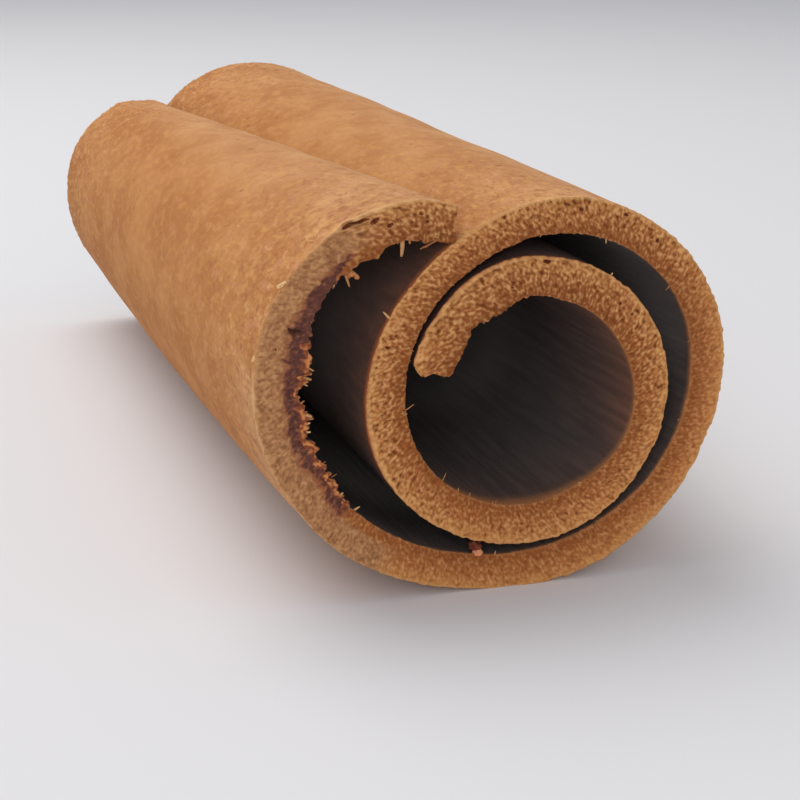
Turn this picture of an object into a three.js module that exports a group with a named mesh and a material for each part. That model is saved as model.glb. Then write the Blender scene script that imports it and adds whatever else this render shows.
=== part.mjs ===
// A cassia bark quill: one strip of dried, scraped bark that has rolled up lengthwise into a
// scroll of a little over two turns, sawn square at both ends. It lies on its side. The outer
// turn makes a wide lobe on the left, whose free edge closes down on the back of the same turn,
// and on the right the bark dives under that edge and winds into a tighter inner coil.
//
// Millimetres. X runs across the scroll, +Y from the near sawn end to the far one, +Z up.
// The origin is the bottom centre of the quill's bounding box.

import * as THREE from "three";

// Driving dimensions.
const quillLength = 80; // between the two sawn ends
const coilCentre = { x: 2.0, z: 12.5 }; // the point that bearings and radii are taken from
const restFlatDepth = 0.12; // how far the underside is worn flat where the quill lies

// Facets.
const columnsPerKnot = 6; // steps round the scroll from one knot to the next
const stations = 8; // steps from the near end to the far end

// The scroll at each sawn end, as knots from the free outer edge round to the inner edge:
// bearing in degrees about the coil centre (0 towards +X, 90 up, counting on past each turn),
// radius of the bark's outer face, and thickness of the bark.
const nearScroll = [
  [110.2, 13.3, 2.2],
  [117.5, 14.7, 2.7],
  [127, 15.8, 2.45],
  [139, 16.95, 2.7],
  [160, 17.8, 2.9],
  [182.5, 17.25, 3.0],
  [205, 15.8, 2.7],
  [250, 12.97, 2.4],
  [295, 12.43, 2.3],
  [340, 13.0, 2.2],
  [385, 13.87, 2.25],
  [430, 13.2, 2.3],
  [475, 11.4, 2.15],
  [520, 10.65, 2.35],
  [565, 10.2, 2.6],
  [610, 9.65, 2.65],
  [655, 9.6, 2.65],
  [700, 9.75, 2.3],
  [745, 9.55, 2.52],
  [788, 9.25, 2.68],
  [828, 8.95, 2.8],
  [857, 8.35, 2.7],
  [883, 7.95, 2.5],
];
const farScroll = [
  [131.5, 12.5, 1.6],
  [136, 13.6, 1.75],
  [140, 14.65, 1.9],
  [145, 15.6, 2.1],
  [163, 17.3, 2.7],
  [184, 17.4, 3.0],
  [206, 16.1, 2.7],
  [250, 12.97, 2.35],
  [295, 12.43, 2.2],
  [340, 13.0, 2.15],
  [385, 13.8, 2.25],
  [430, 13.25, 2.3],
  [475, 12.0, 2.1],
  [520, 10.1, 2.3],
  [565, 10.0, 2.6],
  [610, 9.7, 2.6],
  [655, 9.6, 2.6],
  [700, 9.5, 2.3],
  [745, 9.2, 2.4],
  [788, 8.7, 2.5],
  [828, 8.0, 2.6],
  [850, 7.6, 2.6],
  [868, 7.3, 2.4],
];

// Half way down the quill its left side stands out past the straight run between the two ends.
const sideSwell = { bearing: 206, reach: 18, height: 0.45 }; // degrees, degrees, millimetres

// A smooth run through the knots: each point holds (bearing, radius, thickness) as x, y, z.
function runThrough(knots) {
  const points = knots.map((knot) => new THREE.Vector3(...knot));
  return new THREE.CatmullRomCurve3(points, false, "catmullrom", 0.5);
}

const nearRun = runThrough(nearScroll);
const farRun = runThrough(farScroll);

// How far the side stands out at a bearing: a bell round its own bearing, and a parabola down the
// length that is 0 at both sawn ends.
function swellAt(bearing, back) {
  const off = (bearing - sideSwell.bearing) / sideSwell.reach;
  return sideSwell.height * Math.exp(-off * off) * 4 * back * (1 - back);
}

// Bearing, radius and thickness at a share `along` of the scroll and a share `back` of the length.
function barkAt(along, back) {
  const here = nearRun.getPoint(along).lerp(farRun.getPoint(along), back);
  const radius = here.y + swellAt(here.x, back);
  return { bearing: THREE.MathUtils.degToRad(here.x), radius, thickness: here.z };
}

// The outer face of the bark there, as a point (x, z) of the section.
function outerFace(along, back) {
  const { bearing, radius } = barkAt(along, back);
  return new THREE.Vector2(
    coilCentre.x + radius * Math.cos(bearing),
    coilCentre.z + radius * Math.sin(bearing),
  );
}

// The inner face: one thickness in from the outer face, square to it.
function innerFace(along, back) {
  const nudge = 1e-3;
  const before = outerFace(Math.max(along - nudge, 0), back);
  const after = outerFace(Math.min(along + nudge, 1), back);
  const travel = after.sub(before).normalize();
  const inward = new THREE.Vector2(-travel.y, travel.x);
  return outerFace(along, back).addScaledVector(inward, barkAt(along, back).thickness);
}

// Both faces at one station, column by column from the free edge to the inner edge.
function sectionAt(back) {
  const columns = columnsPerKnot * (nearScroll.length - 1);
  const section = [];
  for (let column = 0; column <= columns; column++) {
    const along = column / columns;
    section.push([outerFace(along, back), innerFace(along, back)]);
  }
  return section;
}

// Lofts the sections into one closed solid. A column has two vertices, outer (0) and inner (1).
function loft(sections) {
  const columns = sections[0].length - 1;
  const lowest = Math.min(...sections.flat(2).map((point) => point.y));
  const restLevel = lowest + restFlatDepth;
  const positions = [];
  sections.forEach((section, station) => {
    const y = (quillLength * station) / stations;
    for (const point of section.flat()) positions.push(point.x, y, Math.max(point.y, restLevel));
  });

  const vertex = (station, column, face) => (station * (columns + 1) + column) * 2 + face;
  const index = [];
  const quad = (a, b, c, d) => index.push(a, b, c, a, c, d);

  for (let s = 0; s < stations; s++) {
    for (let c = 0; c < columns; c++) {
      quad(vertex(s, c, 0), vertex(s + 1, c, 0), vertex(s + 1, c + 1, 0), vertex(s, c + 1, 0));
      quad(vertex(s, c, 1), vertex(s, c + 1, 1), vertex(s + 1, c + 1, 1), vertex(s + 1, c, 1));
    }
    quad(vertex(s, 0, 0), vertex(s, 0, 1), vertex(s + 1, 0, 1), vertex(s + 1, 0, 0));
    const last = columns;
    quad(vertex(s, last, 0), vertex(s + 1, last, 0), vertex(s + 1, last, 1), vertex(s, last, 1));
  }
  for (let c = 0; c < columns; c++) {
    const far = stations;
    quad(vertex(0, c, 0), vertex(0, c + 1, 0), vertex(0, c + 1, 1), vertex(0, c, 1));
    quad(vertex(far, c, 0), vertex(far, c, 1), vertex(far, c + 1, 1), vertex(far, c + 1, 0));
  }

  const geometry = new THREE.BufferGeometry();
  geometry.setAttribute("position", new THREE.Float32BufferAttribute(positions, 3));
  geometry.setIndex(index);
  geometry.computeVertexNormals();
  return geometry;
}

// Puts the middle of the bounding box's underside at the origin.
function standOnOrigin(geometry) {
  geometry.computeBoundingBox();
  const { min, max } = geometry.boundingBox;
  geometry.translate(-(min.x + max.x) / 2, -(min.y + max.y) / 2, -min.z);
  return geometry;
}

function makeBark() {
  const sections = [];
  for (let station = 0; station <= stations; station++) {
    sections.push(sectionAt(station / stations));
  }
  const material = new THREE.MeshStandardMaterial({
    color: 0xbf8a58,
    roughness: 0.85,
    metalness: 0,
  });
  const bark = new THREE.Mesh(standOnOrigin(loft(sections)), material);
  bark.name = "bark";
  return bark;
}

const quill = new THREE.Group();
quill.name = "cassia_quill";
quill.add(makeBark());

export default quill;
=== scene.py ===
"""A cassia bark quill: one strip of dried bark rolled into a scroll, lying on a pale floor.

The strip is first laid out flat, with its sawn ends, torn edges and grain, and is then rolled up.
A flat place is (along, down, deep), in millimetres: along the strip from its free outer edge,
down the quill from its near sawn end, and deep into the bark from its outer face. A share is how
far through the bark a place lies: 0 on the outer face and 1 on the inner one.
"""

import bpy
import numpy as np
from mathutils import Matrix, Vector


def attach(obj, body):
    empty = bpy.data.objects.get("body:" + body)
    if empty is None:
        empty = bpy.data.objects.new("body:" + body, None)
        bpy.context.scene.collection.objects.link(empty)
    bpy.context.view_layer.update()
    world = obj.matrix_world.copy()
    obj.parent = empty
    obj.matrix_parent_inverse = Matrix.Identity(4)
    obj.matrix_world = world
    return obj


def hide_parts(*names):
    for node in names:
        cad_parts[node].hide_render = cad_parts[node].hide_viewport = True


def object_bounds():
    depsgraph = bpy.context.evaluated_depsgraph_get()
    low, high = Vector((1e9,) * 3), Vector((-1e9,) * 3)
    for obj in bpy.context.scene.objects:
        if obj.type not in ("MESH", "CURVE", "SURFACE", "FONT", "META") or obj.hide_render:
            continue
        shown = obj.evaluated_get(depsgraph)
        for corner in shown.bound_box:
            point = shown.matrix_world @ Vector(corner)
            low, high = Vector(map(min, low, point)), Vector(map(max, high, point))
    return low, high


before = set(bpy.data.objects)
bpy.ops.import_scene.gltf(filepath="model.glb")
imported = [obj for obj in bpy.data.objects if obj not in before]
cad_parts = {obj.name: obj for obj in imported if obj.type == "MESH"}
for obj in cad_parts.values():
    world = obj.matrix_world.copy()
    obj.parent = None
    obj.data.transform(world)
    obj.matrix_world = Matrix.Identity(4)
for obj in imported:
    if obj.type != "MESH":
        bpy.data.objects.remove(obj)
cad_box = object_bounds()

# ---- the scroll, in millimetres

MM = 0.001
CAD_LOW, CAD_HIGH = np.array(cad_box) / MM
LENGTH = CAD_HIGH[1] - CAD_LOW[1]
COIL_CENTRE = np.array([2.0, 12.5])

# The strip's outer face at each sawn end, from the free outer edge round to the inner edge:
# bearing in degrees about the coil centre, radius, and thickness of the bark.
NEAR_SCROLL = np.array([
    (110.2, 13.3, 2.2), (117.5, 14.7, 2.7), (127, 15.8, 2.45), (139, 16.95, 2.7), (160, 17.8, 2.9),
    (182.5, 17.25, 3), (205, 15.8, 2.7), (250, 12.97, 2.4), (295, 12.43, 2.3), (340, 13, 2.2),
    (385, 13.87, 2.25), (430, 13.2, 2.3), (475, 11.4, 2.15), (520, 10.65, 2.35), (565, 10.2, 2.6),
    (610, 9.65, 2.65), (655, 9.6, 2.65), (700, 9.75, 2.3), (745, 9.55, 2.52), (788, 9.25, 2.68),
    (828, 8.95, 2.8), (857, 8.35, 2.7), (883, 7.95, 2.5),
])
FAR_SCROLL = np.array([
    (131.5, 12.5, 1.6), (136, 13.6, 1.75), (140, 14.65, 1.9), (145, 15.6, 2.1), (163, 17.3, 2.7),
    (184, 17.4, 3), (206, 16.1, 2.7), (250, 12.97, 2.35), (295, 12.43, 2.2), (340, 13, 2.15),
    (385, 13.8, 2.25), (430, 13.25, 2.3), (475, 12, 2.1), (520, 10.1, 2.3), (565, 10, 2.6),
    (610, 9.7, 2.6), (655, 9.6, 2.6), (700, 9.5, 2.3), (745, 9.2, 2.4), (788, 8.7, 2.5),
    (828, 8, 2.6), (850, 7.6, 2.6), (868, 7.3, 2.4),
])
# Half way down the quill its left side stands out past the straight run between the two ends.
SWELL_BEARING, SWELL_REACH, SWELL_HEIGHT = 206, 18, 0.45


def spline(knots, share):
    """Uniform Catmull-Rom run through the knots: share 0 is the first knot and 1 the last."""
    spans = len(knots) - 1
    padded = np.vstack([2 * knots[0] - knots[1], knots, 2 * knots[-1] - knots[-2]])
    span = np.clip(np.floor(share * spans).astype(int), 0, spans - 1)
    t = (share * spans - span)[..., None]
    a, b, c, d = (padded[span + step] for step in range(4))
    return b + 0.5 * t * (c - a + t * (2 * a - 5 * b + 4 * c - d + t * (3 * (b - c) + d - a)))


def scroll_row(share, back):
    """Bearing, radius and thickness: the near end's run blended straight to the far end's, with
    a bell round the swell's bearing, times a parabola down the length, added to the radius."""
    near = spline(NEAR_SCROLL, share)
    row = near + (spline(FAR_SCROLL, share) - near) * back[..., None]
    off = (row[..., 0] - SWELL_BEARING) / SWELL_REACH
    row[..., 1] += SWELL_HEIGHT * np.exp(-off * off) * 4 * back * (1 - back)
    return row


def joined(*parts):
    """Arrays and numbers, broadcast together, as the last axis of one array."""
    return np.stack(np.broadcast_arrays(*parts), -1)


def split(places):
    """The parts along the last axis of an array, one by one."""
    return np.moveaxis(places, -1, 0)


def unit(vectors):
    """Vectors brought to a length of one."""
    return vectors / np.maximum(np.linalg.norm(vectors, axis=-1, keepdims=True), 1e-9)


def outer_face(share, back):
    """The outer face as (x, z): the coil centre plus the radius turned to the bearing."""
    row = scroll_row(share, back)
    angle = np.radians(row[..., 0])
    return COIL_CENTRE + row[..., 1:2] * joined(np.cos(angle), np.sin(angle))


def face_and_inward(share, back):
    """The outer face as (x, z), and the unit direction into the bark, square to the face."""
    nudge = 1e-4
    travel = unit(outer_face(share + nudge, back) - outer_face(share - nudge, back))
    return outer_face(share, back), joined(-travel[..., 1], travel[..., 0])


# Shares of the scroll in fine steps, from a little before its free edge to a little past its end.
SHARES = np.linspace(-0.02, 1.02, 5201)


def measured_strip():
    """How far along the strip each of those shares lies, measured half way down the quill at the
    middle of the bark's thickness."""
    half_way = np.full_like(SHARES, 0.5)
    face, inward = face_and_inward(SHARES, half_way)
    middle = face + inward * scroll_row(SHARES, half_way)[:, 2:3] / 2
    steps = np.linalg.norm(np.diff(middle, axis=0), axis=1)
    along = np.concatenate([[0], np.cumsum(steps)])
    return along - np.interp(0, SHARES, along)


def standing_shift():
    """How far across and up the scroll moves to stand in the frame: centred across the CAD box,
    with its top at the box's top."""
    faces = [outer_face(SHARES, np.full_like(SHARES, back)) for back in (0, 0.5, 1)]
    low, high = np.min(faces, axis=(0, 1)), np.max(faces, axis=(0, 1))
    return (CAD_LOW[0] + CAD_HIGH[0]) / 2 - (low[0] + high[0]) / 2, CAD_HIGH[2] - high[1]


ALONG = measured_strip()
STRIP = np.interp(1, SHARES, ALONG)
SHIFT_X, SHIFT_Z = standing_shift()


def scroll_place(along, down):
    """Shares of the scroll and of the quill's length, at places along the strip and down it."""
    return np.interp(along, ALONG, SHARES), np.clip(down / LENGTH, 0, 1)


def row_at(along, down):
    """Bearing, radius and thickness of the bark at places along the strip and down the quill."""
    return split(scroll_row(*scroll_place(along, down)))


def roll(flat):
    """Rolls flat places up: the outer face follows the scroll, and a place deep in the bark
    lies that far in from the face, square to it."""
    along, down, deep = split(flat)
    face, inward = face_and_inward(*scroll_place(along, down))
    x, z = split(face + inward * deep[..., None])
    return joined(x + SHIFT_X, down + CAD_LOW[1], z + SHIFT_Z)


# ---- noise

RANDOM = np.random.default_rng(71).random(1 << 16)


def ripple(places, size, salt):
    """Smooth value noise from 0 to 1. Each corner of each cell of that size has a fixed random
    number, by a hash of its place and a salt, and the corners are blended by an eased weight."""
    mixed, weights = [], []
    for axis, prime in enumerate((73856093, 19349663, 83492791)):
        scaled = places[..., axis] / np.broadcast_to(size, 3)[axis]
        cell = np.floor(scaled)
        t = scaled - cell
        ease = t * t * t * (t * (6 * t - 15) + 10)
        cell = cell.astype(np.int64)
        mixed.append((cell * prime, (cell + 1) * prime))
        weights.append((1 - ease, ease))
    total = 0
    for corner in range(8):
        i, j, k = corner & 1, corner >> 1 & 1, corner >> 2 & 1
        place = mixed[0][i] ^ mixed[1][j] ^ mixed[2][k] ^ (salt * 2654435761)
        place = (place ^ place >> 13) * 1274126177
        total = total + weights[0][i] * weights[1][j] * weights[2][k] * RANDOM[place >> 9 & 0xFFFF]
    return total


def rough(places, size, salt, octaves=2):
    """Several ripples, each half the size and half the strength of the one before, 0 to 1."""
    total, weight = 0, 0
    for octave in range(octaves):
        total = total + 0.5**octave * ripple(places, np.array(size) / 2**octave, salt + octave)
        weight += 0.5**octave
    return total / weight


def ridges(places, size, salt):
    """Thin worm-like ridges, 1 along the crests: one minus the distance of noise from its mean."""
    return 1 - np.abs(2 * rough(places, size, salt) - 1) ** 0.75 * 1.6


def smooth(value, low, high):
    """Eased step: 0 below low, 1 above high, and three t squared minus two t cubed between."""
    t = np.clip((value - low) / (high - low), 0, 1)
    return t * t * (3 - 2 * t)


def band(value, start, end, fade):
    """1 between start and end, fading to 0 over the fade outside them."""
    return smooth(value, start - fade, start) * (1 - smooth(value, end, end + fade))


def at_knots(value, knots):
    """A straight run through knots of (value, result)."""
    knots = np.array(knots)
    return np.interp(value, knots[:, 0], knots[:, 1])


# ---- the lattice

STRETCHES, PLIES = 9, 40
# In millimetres: a column's width, the steps down the quill at a sawn end and half way down, the
# rounds of a sawn rim and of the strip's long edges, and how far down the near end's marks go.
COLUMN = 0.066
SAWN_STEP, COARSE_STEP = 0.06, 1.3
SAWN_RIM, EDGE_ROUND = 0.13, 0.3
NEAR_PART = 10
GROWTH = 1.14  # from one step down the quill to the next


def graded(length):
    """Places from 0 to length: fine steps at both ends that grow by one ratio to a coarse one."""
    steps = SAWN_STEP * GROWTH ** np.arange(int(length / SAWN_STEP))
    steps = steps[steps < COARSE_STEP]
    middle = length - 2 * steps.sum()
    count = int(round(middle / COARSE_STEP))
    return np.concatenate([[0], np.cumsum(np.concatenate([
        steps, np.full(count, middle / count), steps[::-1]]))])


def eased_columns(length, count):
    """Even places from 0 to length, with the first and last millimetre drawn in to the edges."""
    even = np.linspace(0, length, count + 1)
    start = np.where(even < 1, even * even, even)
    from_end = length - start
    return np.where(from_end < 1, length - from_end * from_end, start)


ROWS = graded(LENGTH)
PER_STRETCH = int(round(STRIP / COLUMN / STRETCHES))
COLUMNS = eased_columns(STRIP, PER_STRETCH * STRETCHES)
PLY = np.linspace(0, 1, PLIES + 1)
LAST_ROW = len(ROWS) - 1
FROM_SAW = np.minimum(ROWS, LENGTH - ROWS)
ROW_STEP = np.gradient(ROWS)

# One ring round the strip at each column: down the outer face, through the far sawn end, back up
# the inner face and through the near sawn end.
RING_ROW = np.concatenate([
    np.arange(LAST_ROW + 1), np.full(PLIES, LAST_ROW),
    np.arange(LAST_ROW - 1, -1, -1), np.zeros(PLIES - 1, int)])
RING_PLY = np.concatenate([
    np.zeros(LAST_ROW + 1, int), np.arange(1, PLIES + 1),
    np.full(LAST_ROW, PLIES), np.arange(PLIES - 1, 0, -1)])
RING = len(RING_ROW)


def round_off(distance, radius):
    """How far a face has dropped at a distance from its edge, for a round of that radius."""
    inside = np.clip(radius - distance, 0, radius)
    return radius - np.sqrt(radius**2 - inside**2)


# ---- the strip's shape

# How open the grain of a sawn face is, by bearing: 1 is full of pits and 0 is close and streaked.
OPEN_GRAIN = [
    (132, 1), (142, 0.3), (260, 0.3), (330, 0.2), (385, 0.3), (402, 0.85), (500, 0.9), (560, 0.8),
    (600, 0.5), (690, 0.55), (740, 0.9),
]
# How much browner than the rest a sawn face is, by bearing.
BROWNED = [
    (108, 0.28), (132, 0.24), (142, 0), (360, 0), (380, 0.14), (402, 0.14), (440, 0.12), (500, 0.1),
    (560, 0.04), (600, 0), (720, 0), (750, 0.15), (770, 0.26), (850, 0.26), (875, 0.1),
]
# How ruddy the outer face is, by bearing: the left flank most, and the side of the coil by the flap.
RUDDY = [
    (110, 0), (130, 0.2), (145, 0.9), (230, 1), (300, 0.6), (400, 0), (425, 0.1), (445, 0.5),
    (475, 0.9),
]
# How ruddy the painted light behind the inner face's sawn rims is, by bearing: most under the bore
# and on its right.
RUDDY_LINING = [
    (560, 0), (600, 0.6), (630, 0.25), (680, 0.3), (705, 1), (780, 1), (810, 0.2), (885, 0),
]
# How far the painted light along a sawn rim, and the dimmer painted light behind it, reach into
# the quill, in millimetres: on the inner face by bearing, on the outer face where a turn covers it,
# and on the open skin, where the first gives a painted highlight along the rim and the second only
# sets how crisp the skin's fine marks are.
RIM_LIT = [
    (340, 0.5), (365, 0.8), (440, 0.8), (475, 0.3), (560, 0.8), (600, 1.8), (630, 2.3), (650, 1.5),
    (680, 1), (720, 0.6), (760, 1.2), (800, 0.8), (885, 0.4),
]
HALF_LIT = [
    (440, 1.2), (475, 0.6), (560, 2), (600, 4), (640, 4), (680, 3), (710, 6), (770, 7), (800, 3),
    (885, 1.5),
]
COVERED_RIM_LIT = [(465, 1), (565, 0.8), (590, 0.35)]
COVERED_HALF_LIT = [(465, 6), (565, 4), (590, 1)]
SKIN_RIM_LIT, SKIN_HALF_LIT = 0.9, 20
# Painted fill light deep inside the roll: how far in the faces inside it turn paler again, by
# bearing, and by how much.
PAINTED_FILL_FROM = [(330, 5), (370, -2), (450, -3), (475, 5), (540, 5), (600, 17)]
PAINTED_FILL_SHARE = [
    (110, 0.54), (340, 0.5), (370, 0.36), (395, 0.42), (420, 0.7), (445, 1), (475, 0.54),
    (540, 0.54), (600, 0.25),
]
# The left wall's near end, by bearing, where the inner plies tore instead of cutting: how far the
# inner rim leans in over the hollow, in millimetres, or is broken back. The coil's inner end is
# uneven in the same way.
RIM_LEAN = [
    (111, 0.1), (114.5, -0.05), (119, -0.08), (122.5, -0.2), (127.2, -0.2), (129.4, 0.12),
    (131, 0.2), (134.3, 0), (138.5, -0.25), (142, -0.4), (150, -0.3), (156, -0.2), (160, 0),
    (163, 0.05), (166, 0.5), (169, 0.3), (172, 0), (175, -0.35), (178, -0.05), (181, 0.2),
    (184, 0.05), (187, -0.1), (191, 0.2), (194, 0.1), (198, 0.3), (201, 0.3), (204, 0.05), (212, 0),
    (790, 0), (801, -0.2), (811, -0.25), (821, -0.05), (830, 0.25), (840, 0), (850, -0.25),
    (860, 0.1), (870, 0.25),
]
# The stain there starts at this share, and ends at the lip, or runs out over the rim above it.
STAIN_START = [(146, 0.62), (152, 0.6), (165, 0.62), (188, 0.64), (196, 0.72), (212, 0.74)]
STAIN_END = [
    (137, 0.8), (142, 0.9), (148, 1.3), (158, 1.3), (162, 0.92), (175, 0.9), (190, 0.88),
    (202, 0.89), (209, 0.95),
]
CRACK_BEARING = 159.5
# Bearings from and to which the near end is torn, stained, lipped, calm or worn, and the fade past
# them, in degrees. The last three are toothed, by the share that comes fourth.
TORN, STAINED, LIPPED = (137, 211, 1), (139, 208, 4), (161, 210, 1.5)
CALM, WORN = (138, 222, 10), (176, 216, 10)
TOOTHED = [(158, 209, 3, 1), (116, 156, 3, 0.6), (815, 870, 10, 0.5)]
# How far the strip's outer edge reaches past its line at the near end, by share.
OUTER_END = [(0.5, 0.1), (0.8, 0.35), (1, 0.45)]
# The outline of the strip's inner end: share, and how far the end reaches past the strip's length.
INNER_END = [
    (0, 0), (0.04, 0.05), (0.16, 0.28), (0.3, 0.34), (0.44, 0.22), (0.6, 0.1), (0.85, 0.1),
    (0.93, 0), (1, -0.3),
]
# Pits in the sawn near end: bearing, share, half length along, half width through, and depth.
PITS = [
    (134.6, 0.03, 0.42, 0.11, 0.38), (132.9, 0.06, 0.42, 0.13, 0.4), (131.2, 0.1, 0.38, 0.12, 0.36),
    (129.3, 0.24, 0.26, 0.15, 0.26), (128.5, 0.2, 0.22, 0.12, 0.24),
    (126.4, 0.48, 0.17, 0.12, 0.24), (125.7, 0.45, 0.15, 0.12, 0.18),
    (123.4, 0.46, 0.14, 0.17, 0.22), (120.6, 0.1, 0.17, 0.12, 0.22),
    (118.2, 0.31, 0.15, 0.12, 0.22), (116.2, 0.52, 0.13, 0.16, 0.22),
    (112.8, 0.88, 0.15, 0.12, 0.16), (441.4, 0.48, 0.14, 0.12, 0.22),
    (434.5, 0.32, 0.17, 0.12, 0.22), (428.7, 0.25, 0.14, 0.14, 0.22),
    (424.8, 0.41, 0.11, 0.14, 0.22), (420.7, 0.16, 0.19, 0.12, 0.22),
    (410.4, 0.37, 0.13, 0.12, 0.22), (408.3, 0.34, 0.11, 0.16, 0.22),
    (401.2, 0.32, 0.15, 0.12, 0.22), (458.8, 0.07, 0.17, 0.1, 0.22), (450, 0.38, 0.15, 0.12, 0.22),
    (763.1, 0.39, 0.15, 0.12, 0.22), (755.4, 0.34, 0.13, 0.14, 0.22),
    (802.7, 0.1, 0.28, 0.15, 0.35), (819.5, 0.63, 0.15, 0.12, 0.22), (516.3, 0.33, 0.11, 0.35, 0.3),
    (521.1, 0.57, 0.13, 0.14, 0.22), (541.5, 0.38, 0.13, 0.14, 0.22), (544, 0.57, 0.11, 0.16, 0.22),
    (541.7, 0.93, 0.13, 0.12, 0.16), (864.3, 0.15, 0.13, 0.12, 0.22),
    (594.4, 0.42, 0.15, 0.12, 0.16), (642.6, 0.73, 0.15, 0.12, 0.16),
    (164.4, 0.34, 0.17, 0.15, 0.24), (148.9, 0.18, 0.13, 0.12, 0.18),
    (152.4, 0.41, 0.12, 0.12, 0.18), (176.3, 0.11, 0.16, 0.12, 0.2), (190, 0.12, 0.14, 0.12, 0.18),
]


def pits_at(bearing, radius, share, thick, down):
    """How deep the listed pits are at a place, in millimetres: a bell in each way, for each pit."""
    depth = 0 * share
    for pit_bearing, pit_share, half_length, half_width, pit_depth in PITS:
        off_along = np.radians(bearing - pit_bearing) * radius / half_length
        off_deep = (share - pit_share) * thick / half_width
        depth = depth + pit_depth * np.exp(-((off_along**2 + off_deep**2) ** 1.5))
    return depth * (down < LENGTH / 2)


def torn_wall(along, bearing, share):
    """The left wall's near end as three masks: the sunk stain, the lip inside it, and the crack
    where they meet. The edges of each wander by two sizes of noise in the share."""
    spot = joined(along, 0, share * 2.8)
    slow = rough(joined(along, 0, 0), 1.6, 23, 3) - 0.5
    across = share + 0.2 * slow + 0.24 * (rough(spot, 0.4, 83) - 0.5)
    start = at_knots(bearing, STAIN_START)
    end = at_knots(bearing, STAIN_END)
    past_end = smooth(share + 0.14 * (rough(spot, 0.3, 83) - 0.5), end - 0.05, end + 0.05)
    stain = smooth(across, start - 0.2, start + 0.16) * (1 - past_end)
    stain = stain * band(bearing, *STAINED)
    lip = past_end * band(bearing, *LIPPED)
    crack = np.exp(-(((bearing - CRACK_BEARING) / 0.7) ** 2)) * band(across, 0.58, 0.8, 0.1)
    return stain, lip, crack


def strip_places(along, row, ply):
    """Flat places for lattice indices, with every rim and edge rounded off and the torn, sawn
    and broken shapes put in. Lengths and the sizes of noise are in millimetres."""
    along, row, ply = np.broadcast_arrays(along, row, ply)
    down, from_saw, share = ROWS[row], FROM_SAW[row], PLY[ply]
    bearing, radius, thick = row_at(along, down)
    from_edge = np.minimum(along, STRIP - along)
    at_near = down < LENGTH / 2

    rim = SAWN_RIM * (0.7 + 0.6 * rough(joined(along, down, share * 2.4), 0.5, 3))
    drop = np.maximum(round_off(from_saw, rim), round_off(from_edge, EDGE_ROUND))
    deep = drop + share * (thick - 2 * drop)

    # Each sawn end wanders a little from flat.
    sawn = 1 - smooth(from_saw, 0, 4)
    end = np.where(at_near, 1.0, -1.0)
    flat_end = joined(along, 0, deep)
    wander = rough(flat_end, (3.2, 1, 2.2), 11, 3) - 0.5
    wander = np.where(at_near, wander, rough(flat_end + 50, 2.9, 17, 3) - 0.5)

    # The torn wall: a sunk band behind the outer plies, then a lip of broken teeth.
    stain, lip, crack = torn_wall(along, bearing, share)
    torn = band(bearing, *TORN) * at_near
    teeth = rough(joined(along, 0, share * 2.8), (0.3, 1, 0.36), 29) - 0.48
    teeth = teeth * (0.4 + 1.2 * rough(joined(along + 9, 9, 9), 0.9, 33))
    shift = 0.4 * wander + torn * (0.15 * stain + 0.04 * lip + 0.35 * crack - 0.3 * lip * teeth)
    shift = shift + pits_at(bearing, radius, share, thick, down)
    down = down + end * sawn**2 * shift

    # Its inner rim leans and is toothed, and every rim is a little uneven.
    reach = 1 - smooth(from_saw, 0.25, np.where(bearing < 360, 1.5, 4))
    toothed = sum(share_of * band(bearing, *ends) for *ends, share_of in TOOTHED)
    lean = at_knots(bearing, RIM_LEAN) + 0.65 * teeth * toothed
    deep = deep + lean * at_near * smooth(share, 0.5, 1) * reach
    uneven = rough(joined(along, 0, share * 3), 0.26, 79) - 0.5
    deep = deep + 0.14 * uneven * (1 - smooth(from_saw, 0.05, 0.4))

    # Both long edges of the strip are broken unevenly, the inner one in steps.
    ragged_place = joined(down, deep, 0)
    ragged = rough(ragged_place, (2.4, 0.7, 1), 31, 3)
    steps = smooth(rough(ragged_place, (5, 0.9, 1), 37), 0.45, 0.55)
    broken = 0.25 + 0.75 * smooth(from_saw, 0, 5)
    reach_out = at_knots(share, OUTER_END) * at_near * (1 - smooth(from_saw, 0, 8))
    along = along + (0.5 * ragged * broken - reach_out) * (1 - smooth(along, 0, 2.5))
    inner_break = (0.6 * ragged + 0.35 * steps) * broken - at_knots(share, INNER_END)
    along = along - inner_break * (1 - smooth(STRIP - along, 0, 2.5))
    return joined(along, down, deep)


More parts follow.
